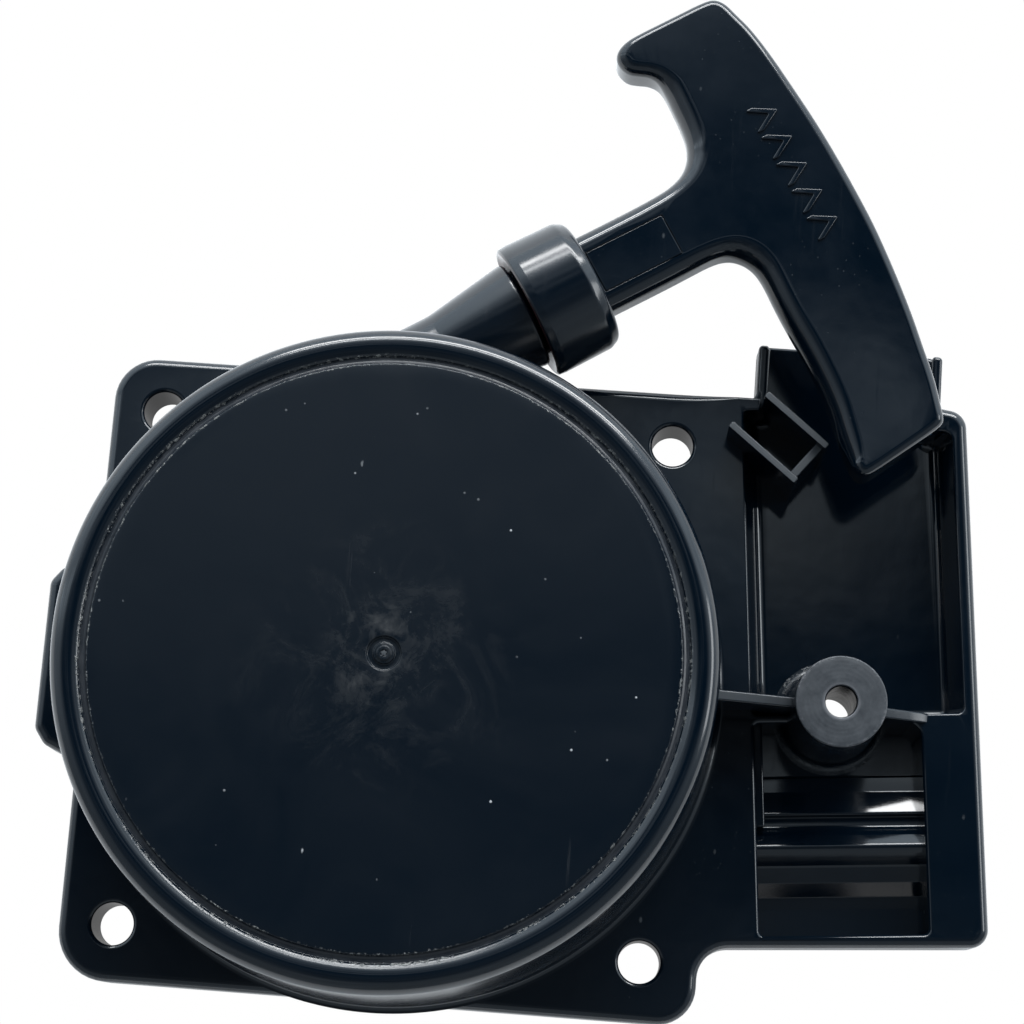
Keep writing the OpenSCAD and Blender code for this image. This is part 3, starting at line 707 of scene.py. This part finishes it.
for i, a in enumerate((20, 140, 260)):
    m = Matrix.Rotation(math.radians(a), 4, "Z") @ Matrix.Translation((34.6, 0, 0))
    add(lathe(f"case_boss_{i}", [(1.12, 32.2), (1.12, 27), (3.2, 27), (3.2, IN_H)], M_CASE.m, BODY, m, seg=32))
# star-shaped gate mark in the middle of the dimple
star = []
for i in range(10):
    a = math.radians(18 + 36 * i)
    r = 0.34 if i % 2 else 0.62
    star.append((r * math.cos(a), r * math.sin(a)))
add(slab("gate_mark", [(star, 0.05, 0)], DH - 0.3, DH + 0.02, M_RIB.m, BODY, steps=2))

# ---------------------------------------------------------------- neck
neck = [(3.9, 14.0), (5.5, 24.6), (7.95, 39.9)] + [(7.95 - 0.5 + 0.5 * math.cos(math.radians(a)), 40.2 + 0.5 * math.sin(math.radians(a))) for a in (0, 30, 60, 90)]
neck += [(6.7, 40.7), (6.6, 41), (6.6, 44.2), (6.3, 44.5), (4.7, 44.5), (4.7, 43.4), (3.6, 43.4), (3.6, 38.6), (2.3, 38.6), (2.3, 14)]
prof2 = []
for (r0, z0), (r1, z1) in zip(neck, neck[1:]):
    prof2.append((r0, z0))
prof2.append(neck[-1])
add(lathe("neck", prof2, M_NECK.m, BODY, M_ROPE, seg=96, sharp=45))
# root fillet where the neck leaves the drum
bm = bmesh.new()
root = []
seg_n = 64
for k in range(seg_n):
    a = 2 * math.pi * k / seg_n
    col = []
    for t in range(7):
        f = t / 6
        d = 24.4 + 5.0 * f
        rr = 5.4 + (d - 24.6) * 0.143 + 1.9 * (1 - f) ** 2.4
        n_ = rr * math.cos(a)
        z_ = rr * math.sin(a)
        # slide the base ring along the rope so that it lies on the drum wall
        n_abs = OFF + n_
        if f < 1:
            wall = DR + 0.3
            dw = math.sqrt(max(wall * wall - n_abs * n_abs, 0)) if n_abs < wall else 9.0
            dd = dw * (1 - f) + (29.4) * f
        else:
            dd = 29.4
        col.append(bm.verts.new((dd, n_abs, RZ + z_)))
    root.append(col)
for k in range(seg_n):
    A, B = root[k], root[(k + 1) % seg_n]
    for i in range(6):
        bm.faces.new((A[i], B[i], B[i + 1], A[i + 1]))
add(finish_mesh("neck_root", bm, M_NECK.m, BODY, M_PULL, 60, weighted=False))
web = rounded([(24, 4, 0), (33, 4, 2), (35.5, 12, 2), (35.5, 16, 0), (24, 16, 0)], 5)
add(slab("neck_web", [(web, 0.5, 0.5)], -2, 2, H, BODY, M_PULL @ Matrix.Translation((0, OFF, 0)) @ Matrix.Rotation(math.pi / 2, 4, "X"), steps=3))

# ---------------------------------------------------------------- side tray
top_c = [(*tray(-11.65, -0.2), 1.0), (*tray(18.8, -0.2), 0.9), (*tray(18.8, 41.3), 1.6), (75.1, 42.4, 0.8)]
bot_c = [(*tray(-9.7, 0.1), 1.0), (*tray(16.9, 0.1), 0.9), (*tray(16.9, 40.4), 1.6), (74.5, 41.6, 0.8)]
top_d = [(75.1, 46.3, 0.0), (51.0, 45.5, 0.0)]
bot_d = [(74.6, 46.3, 0.0), (51.4, 45.5, 0.0)]
top_e = [(51.0, 44.0, 0.5), (*tray(-11.65, 45.2), 1.0)]
bot_e = [(51.6, 43.4, 0.5), (*tray(-9.7, 44.2), 1.0)]


def loft(name, tops, bots, z_top, z_bot, fillet, mat, body, n=6, skip=(), cap=True):
    T, B = rounded(tops, n), rounded(bots, n)
    m = len(T)
    bm = bmesh.new()
    T, B = np.array(T), np.array(B)
    if area(list(map(tuple, T))) < 0:
        T, B = T[::-1], B[::-1]
    rings = [[bm.verts.new((x, y, z_top)) for x, y in T]]
    steps = 6
    Bi = inset(list(map(tuple, B)), fillet)
    k = (z_bot + fillet - z_top) / (z_bot - z_top)
    side = T + (B - T) * k
    rings.append([bm.verts.new((x, y, z_bot + fillet)) for x, y in side])
    for i in range(1, steps + 1):
        t = math.radians(90 * i / steps)
        q = side + (Bi - side) * math.sin(t) * 1.0 * (1 - math.cos(t) * 0)
        z = z_bot + fillet * (1 - math.sin(t))
        q = side + (Bi - side) * (1 - math.cos(t))
        rings.append([bm.verts.new((x, y, z)) for x, y in q])
    for a, b in zip(rings, rings[1:]):
        for i in range(m):
            j = (i + 1) % m
            mid = (Vector(a[i].co) + Vector(a[j].co)) / 2
            if any(x0 <= mid.x <= x1 and y0 <= mid.y <= y1 for x0, y0, x1, y1 in skip):
                continue
            bm.faces.new((a[i], a[j], b[j], b[i]))
    if cap:
        e = [bm.edges.get((rings[-1][i], rings[-1][(i + 1) % m])) or bm.edges.new((rings[-1][i], rings[-1][(i + 1) % m])) for i in range(m)]
        bmesh.ops.triangle_fill(bm, use_beauty=True, edges=e, normal=(0, 0, 1))
    return finish_mesh(name, bm, mat, body, None, 50, hole=BORE)


add(loft("tray_liner", top_c + top_d + top_e, bot_c + bot_d + bot_e, PLATE - 0.9, FLOOR + 0.02, 0.9, M_TRAYF.m, BODY, skip=[(51.3, 44.6, 74.9, 60)]))
# tongue
ton = rounded([(49.4, 40, 0), (76.6, 40, 0), (76.6, 55.2, 1.5), (49.4, 55.2, 1.5)], 8)
add(slab("tongue_floor", [(dense(ton, 3), 0.7, 0.4)], 0, FLOOR, M_TRAYF.m, BODY, steps=5))
for nm, c in (("tongue_left", [(49.4, 44.2, 0), (51.1, 44.2, 0), (51.1, 53.5, 0.5), (50.7, 54.1, 0.4), (49.4, 54.1, 0.9)]),
              ("tongue_right", [(75.0, 42.6, 0), (76.6, 42.6, 0), (76.6, 54.1, 0.9), (75.3, 54.1, 0.4), (75.0, 53.6, 0.5)])):
    add(slab(nm, [(dense(rounded(c, 6), 1.5), 0.6, 0.3)], 0, 7.0, H, BODY, steps=5))
fil = [(47.6, 44.9), (50.2, 44.9), (50.2, 47.0), (49.42, 47.0)] + arc(48.1, 46.86, 1.32, 0, -90, 8) + [(47.6, 45.5)]
add(slab("tongue_fillet", [(fil, 0.3, 0.1)], 0, 7.2, H, BODY, steps=3))

# lower pocket: walls come with the plate; stepped floor
prof3 = bevelled_profile([(-0.6, FLOOR, 0), (-8.5, FLOOR, 0.35), (-8.7, FLOOR + 0.45, 0.2), (-10.8, FLOOR + 0.9, 1.2), (-14.2, FLOOR + 3.0, 0.4), (-14.5, FLOOR + 2.2, 0.3), (-15.9, FLOOR + 2.25, 0.7),
                          (-17.2, FLOOR + 3.5, 1.0), (-18.9, FLOOR + 4.7, 0.7), (-19.9, FLOOR + 4.2, 0.7), (-21.6, FLOOR + 2.7, 1.2), (-23.9, FLOOR + 1.9, 0.5), (-25.9, FLOOR + 0.5, 0.8), (-27.6, FLOOR + 0.15, 0.6), (-31.9, FLOOR + 0.1, 0)], 6)
add(extrude_profile("tray_steps", prof3, -11.6, 12.8, M_TRAYF.m, BODY, M_TRAY, sharp=60))
led = rounded([(-11.5, -16, 0), (-10.1, -16, 0.3), (-10.1, -1.2, 0), (-11.5, -1.2, 0)], 4)
add(slab("tray_ledge", [(led, 0.3, 0)], 0.5, 6.7, H, BODY, M_TRAY, steps=4))
# underside skin of the tray
base = rounded([(*tray(-12.4, -32.4), 1), (*tray(19.4, -32.4), 1), (*tray(19.4, 43), 1), (*tray(-12.4, 43.6), 1)], 5)
add(slab("tray_base", [(base, 0, 0)], 0.02, FLOOR - 0.1, H, BODY, steps=2, hole=BORE))

# cross rib
M_RIBP = Matrix.Translation((0, -0.05, 0)) @ Matrix.Rotation(math.pi / 2, 4, "X")
for nm, rib in (("rib_left", [(44.8, 1), (59.3, 1), (59.3, 14.85), (57, 15.6), (44.8, 18.4)]),
                ("rib_right", [(66.6, 1), (76.6, 1), (76.6, PLATE - 0.1), (75.6, 9.1), (70, 11.4), (66.6, 12.5)])):
    add(slab(nm, [(dense(rib, 2), 0.28, 0.28)], -0.75, 0.75, M_RIB.m, BODY, M_RIBP, steps=4, sharp=50))

# boss
bp = [(BOSS_R + 1.9, FLOOR + 0.03)] + [(BOSS_R + 0.4 + 1.4 * (1 - math.sin(math.radians(a))), FLOOR + 0.03 + 1.4 * (1 - math.cos(math.radians(a)))) for a in range(15, 91, 15)]
bp += [(BOSS_R + 0.2, 12), (BOSS_R, BOSS_H - 0.3)] + [(BOSS_R - 0.22 + 0.22 * math.cos(math.radians(a)), BOSS_H - 0.22 + 0.22 * math.sin(math.radians(a))) for a in (0, 30, 60, 90)]
bp += [(r, BOSS_H) for r in (5.2, 4.0, 3.0)]
bp += bevelled_profile([(2.8, BOSS_H, 0), (2.35, BOSS_H, 0.15), (2.25, BOSS_H - 0.35, 0.1), (2.15, BOSS_H - 0.8, 0.2), (2.15, 8, 0)], 3) + [(3.1, 8), (3.1, 0.0)]
add(lathe("boss", bp, M_BOSS.m, BODY, Matrix.Translation((BX, BY, 0)), seg=96, sharp=45))

# rope clip
M_CLIP = Matrix.Translation((45.2, 39.4, 0)) @ Matrix.Rotation(math.radians(-38.3), 4, "Z")
for nm, (x0, y0, x1, y1, z) in {"clip_wall_a": (0, 0, 12.6, 1.05, 15.3), "clip_wall_b": (0.9, 6.8, 12.6, 7.85, 15.3), "clip_end": (10.95, 0.5, 12.15, 7.3, 13.6)}.items():
    c = rounded([(x0, y0, 0.25), (x1, y0, 0.25), (x1, y1, 0.25), (x0, y1, 0.25)], 3)
    add(slab(nm, [(c, 0.14, 0)], 1.5, z, M_RIB.m, BODY, M_CLIP, steps=3))

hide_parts("housing")

# ---------------------------------------------------------------- handle
HB = "handle"
g = [(46.6, -5.8), (47.4, -5.8), (60, -5.8), (64, -5.72), (68.6, -5.6), (70.7, -6.2), (72.2, -7.7), (73.1, -9.6), (73.33, -12), (73.1, -16), (73.05, -20), (73.2, -24.5),
     (73, -29.5), (72.6, -33.4), (71.6, -38), (71.3, -41.5), (71.3, -42.4), (71.5, -43.6), (72.3, -44.3), (73.4, -44.4), (78.9, -43.7), (84.4, -42.95), (85.9, -42.5), (86.4, -41.6), (86.7, -40.6), (88, -36),
     (88.75, -31.5), (89.6, -27), (90.3, -22.1), (90.9, -16.8), (91.35, -11.5), (91.48, -5), (91.46, 1.2), (91.25, 6.5), (90.85, 11.7), (90.35, 17.8), (89.6, 22.8),
     (88.75, 25.6), (88.2, 27.7), (87.3, 29.0), (85.8, 29.6), (80, 29.55), (74.5, 29.55), (72.3, 29.4), (70.7, 28.8), (69.95, 27.8), (69.85, 26.5), (70.4, 24.95),
     (71.8, 23.95), (73, 23.2), (73.85, 21.9), (74, 20), (73.85, 17.5), (73.7, 14.6), (73.3, 11.9), (72.2, 9.6), (70.4, 7.85), (68.2, 6.93), (65.4, 6.6), (60, 6.42), (47.4, 6.42), (46.6, 6.42)]
stem_n = len(g)
g = dense(chaikin(g, 2), 1.0)


def finger_side(pts):
    """1 where the edge faces back towards the fingers, 0 elsewhere, softened along the outline."""
    a = np.array(pts)
    d = np.roll(a, -1, 0) - np.roll(a, 1, 0)
    d /= np.maximum(np.linalg.norm(d, axis=1, keepdims=True), 1e-9)
    w = np.clip((-d[:, 1] - 0.1) / 0.6, 0, 1)
    w = np.where(a[:, 0] < 69, 0.6, w)
    w *= np.where(a[:, 1] > 21.5, 0.35, 1.0) * np.where(a[:, 1] < -41, 0.1, 1.0)
    for _ in range(10):
        w = (np.roll(w, 1) + w + np.roll(w, -1)) / 3
    return w


lidloop = rounded([(52.0, -3.3, 0.25), (64.6, -3.3, 0.25), (64.6, 3.3, 0.25), (52.0, 3.3, 0.25)], 3)
G0, G1 = RZ - 3.7, RZ + 3.7
grip = slab("grip", [(g, 1.3, 1.3), (lidloop, 0.08, 0, 1.2)], G0, G1, M_HANDLE.m, HB, M_GRIP, steps=9, vary=finger_side)
for i in range(-2, 3):
    c = [(x + 82.4, y + 0.4 + 4.6 * i) for x, y in ((0, -1.9), (1.3, -1.9), (4.6, 0), (1.3, 1.9), (0, 1.9), (3.1, 0))]
    slab(f"chevron_{i + 2}", [(rounded([(x, y, 0.15) for x, y in c], 3), 0.16, 0)], G1 - 0.3, G1 + 0.32, M_HANDLE.m, HB, M_GRIP, steps=4)
# cup over the neck's mouth
cup = bevelled_profile([(7.5, 42.3, 0), (8.5, 41.3, 0.2), (9.5, 40.75, 0.4), (10.05, 41.1, 0.35), (10.15, 42.2, 0.8), (10.0, 49.7, 1.5), (9.2, 51.3, 1.1), (6.6, 51.45, 0)], 7)
cup += [(0.6, 51.45)]
lathe("cup", cup, M_COLLAR.m, HB, M_ROPE, seg=128, sharp=50)
cin = [(7.5, 42.3), (7.3, 42.5), (7.2, 46.4), (1.8, 46.4), (1.8, 51.3)]
lathe("cup_inside", cin, M_HANDLE.m, HB, M_ROPE, seg=96, sharp=40)
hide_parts("handle_grip")
lid = slab("lid", [(rounded([(52.12, -3.18, 0.2), (64.48, -3.18, 0.2), (64.48, 3.18, 0.2), (52.12, 3.18, 0.2)], 3), 0.1, 0)], G1 - 1.1, G1 - 0.02, M_HANDLE.m, HB, M_GRIP, steps=3)
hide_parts("handle_lid")

# ---------------------------------------------------------------- rope run: stretches between neck and handle
pts = [Vector((2.0 + 52.1 * i / 260, OFF, RZ)) for i in range(261)]
rope = tube("rope_run", pts, 1.4, M_ROPE_BRAID.m, None, seg=16, matrix=M_PULL)
c, s = math.cos(PULL), math.sin(PULL)
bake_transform(rope)
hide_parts("rope_lead")

# ---------------------------------------------------------------- floor, light, camera
bm = bmesh.new()
bmesh.ops.create_grid(bm, x_segments=2, y_segments=2, size=6)
me = bpy.data.meshes.new("floor")
bm.to_mesh(me)
bm.free()
floor = bpy.data.objects.new("floor", me)
floor.location = (0, 0, -0.0003)
bpy.context.scene.collection.objects.link(floor)
fm = bpy.data.materials.new("paper")
fm.use_nodes = True
fb = fm.node_tree.nodes["Principled BSDF"]
fb.inputs["Base Color"].default_value = (0.9, 0.9, 0.9, 1)
fb.inputs["Roughness"].default_value = 0.95
fb.inputs["Specular IOR Level"].default_value = 0.0
fb.inputs["Emission Color"].default_value = (1, 1, 1, 1)
fb.inputs["Emission Strength"].default_value = 0.28
fe = fm.node_tree.nodes.new("ShaderNodeEmission")
fe.inputs["Color"].default_value = (1, 1, 1, 1)
fe.inputs["Strength"].default_value = 1.0
flp = fm.node_tree.nodes.new("ShaderNodeLightPath")
fmx = fm.node_tree.nodes.new("ShaderNodeMixShader")
fm.node_tree.links.new(flp.outputs["Is Camera Ray"], fmx.inputs[0])
fm.node_tree.links.new(fb.outputs[0], fmx.inputs[1])
fm.node_tree.links.new(fe.outputs[0], fmx.inputs[2])
fm.node_tree.links.new(fmx.outputs[0], fm.node_tree.nodes["Material Output"].inputs["Surface"])
me.materials.append(fm)

world = bpy.data.worlds.new("studio")
bpy.context.scene.world = world
world.use_nodes = True
wt = world.node_tree
wn, wl = wt.nodes, wt.links
bg = wn["Background"]
out = wn["World Output"]
bg.inputs["Color"].default_value = (0.95, 0.96, 0.97, 1)
bg.inputs["Strength"].default_value = 1.0
tc = wn.new("ShaderNodeTexCoord")
sep = wn.new("ShaderNodeSeparateXYZ")
wl.new(tc.outputs["Generated"], sep.inputs[0])
# room seen in reflections: dark overhead, pale towards the top of the picture
def wmath(op, a, b):
    n = wn.new("ShaderNodeMath")
    n.operation = op
    for i, v in enumerate((a, b)):
        if isinstance(v, (int, float)):
            n.inputs[i].default_value = v
        else:
            wl.new(v, n.inputs[i])
    return n.outputs[0]
def wmap(v, a, b, c_, d_):
    n = wn.new("ShaderNodeMapRange")
    n.interpolation_type = "SMOOTHSTEP"
    for k_, x_ in zip(("From Min", "From Max", "To Min", "To Max"), (a, b, c_, d_)):
        n.inputs[k_].default_value = x_
    wl.new(v, n.inputs["Value"])
    return n.outputs["Result"]
low_el = wmap(sep.outputs["Z"], 0.60, 0.93, 1.0, 0.0)
top_az = wmap(sep.outputs["Y"], -0.4, 0.7, 0.40, 2.0)
over = wmath("MULTIPLY", wmap(sep.outputs["Y"], 0.13, 0.235, 0.0, 0.70), wmap(sep.outputs["Y"], 0.245, 0.285, 1.0, 0.0))
over = wmath("MULTIPLY", over, wmath("MULTIPLY", wmap(sep.outputs["X"], 0.095, 0.125, 1.0, 0.2), wmap(sep.outputs["X"], -0.17, -0.10, 2.0, 1.0)))
over = wmath("ADD", over, wmap(sep.outputs["Y"], 0.32, 0.36, 0.0, 0.50))
cloud = wn.new("ShaderNodeTexNoise")
cloud.inputs["Scale"].default_value = 9.0
cloud.inputs["Detail"].default_value = 2
wl.new(tc.outputs["Generated"], cloud.inputs["Vector"])
patch = wmap(cloud.outputs["Fac"], 0.40, 0.66, 0.35, 1.5)
low_y = wmap(sep.outputs["Y"], 0.075, 0.030, 0.0, 0.16)
room = wmath("ADD", wmath("ADD", wmath("MULTIPLY", low_el, top_az), wmath("MULTIPLY", wmath("ADD", over, low_y), patch)), 0.006)
bg2 = wn.new("ShaderNodeBackground")
comb = wn.new("ShaderNodeCombineColor")
for i, t in enumerate((0.76, 0.89, 1.0)):
    wl.new(wmath("MULTIPLY", room, t), comb.inputs[i])
wl.new(comb.outputs[0], bg2.inputs["Color"])
lp = wn.new("ShaderNodeLightPath")
mixs = wn.new("ShaderNodeMixShader")
wl.new(lp.outputs["Is Camera Ray"], mixs.inputs[0])
wl.new(bg2.outputs[0], mixs.inputs[1])
wl.new(bg.outputs[0], mixs.inputs[2])
wl.new(mixs.outputs[0], out.inputs["Surface"])


def area_light(name, loc, target, sx, sy, power, color=(1, 1, 1)):
    ld = bpy.data.lights.new(name, "AREA")
    ld.shape = "RECTANGLE"
    ld.size, ld.size_y = sx, sy
    ld.energy = power
    ld.color = color
    o = bpy.data.objects.new(name, ld)
    bpy.context.scene.collection.objects.link(o)
    o.location = loc
    o.rotation_mode = "QUATERNION"
    o.rotation_quaternion = (Vector(target) - Vector(loc)).to_track_quat("-Z", "Y")
    return o


area_light("key_strip", (0.10, 1.15, 0.62), (0.02, 0.0, 0.0), 1.3, 0.16, 16, (1.0, 1.0, 1.0))
area_light("key_strip_2", (0.10, 1.10, 0.95), (0.02, 0.0, 0.0), 1.2, 0.10, 9, (0.97, 0.99, 1.0))
area_light("side_soft", (1.1, 0.2, 0.55), (0.02, 0.0, 0.0), 0.5, 0.3, 3.0, (0.95, 0.98, 1.0))

cam_d = bpy.data.cameras.new("camera")
cam = bpy.data.objects.new("camera", cam_d)
bpy.context.scene.collection.objects.link(cam)
F, RX, RY, RZr = 2737.49147, -0.19682, -0.02677, -0.06846
CAMERA = (F, RX, RY, RZr, -20.67716, -23.21344, -395.05908)


def rot_xyz(ax, ay, az):
    """Turns about fixed x, then y, then z."""
    return Matrix.Rotation(az, 3, "Z") @ Matrix.Rotation(ay, 3, "Y") @ Matrix.Rotation(ax, 3, "X")


R = rot_xyz(*CAMERA[1:4])
T = Vector(CAMERA[4:7])
C = -(R.transposed() @ T) + Vector((0, 0, PLATE))
cam.matrix_world = Matrix.Translation(C * MM) @ R.transposed().to_4x4()
cam_d.sensor_width = 36
cam_d.lens = CAMERA[0] / 1024 * 36
cam_d.shift_x = (512 - 540) / 1024
cam_d.shift_y = (520 - 512) / 1024
cam_d.clip_start, cam_d.clip_end = 0.02, 50
bpy.context.scene.camera = cam
bpy.context.scene.view_settings.view_transform = "Standard"
bpy.context.scene.view_settings.look = "None"
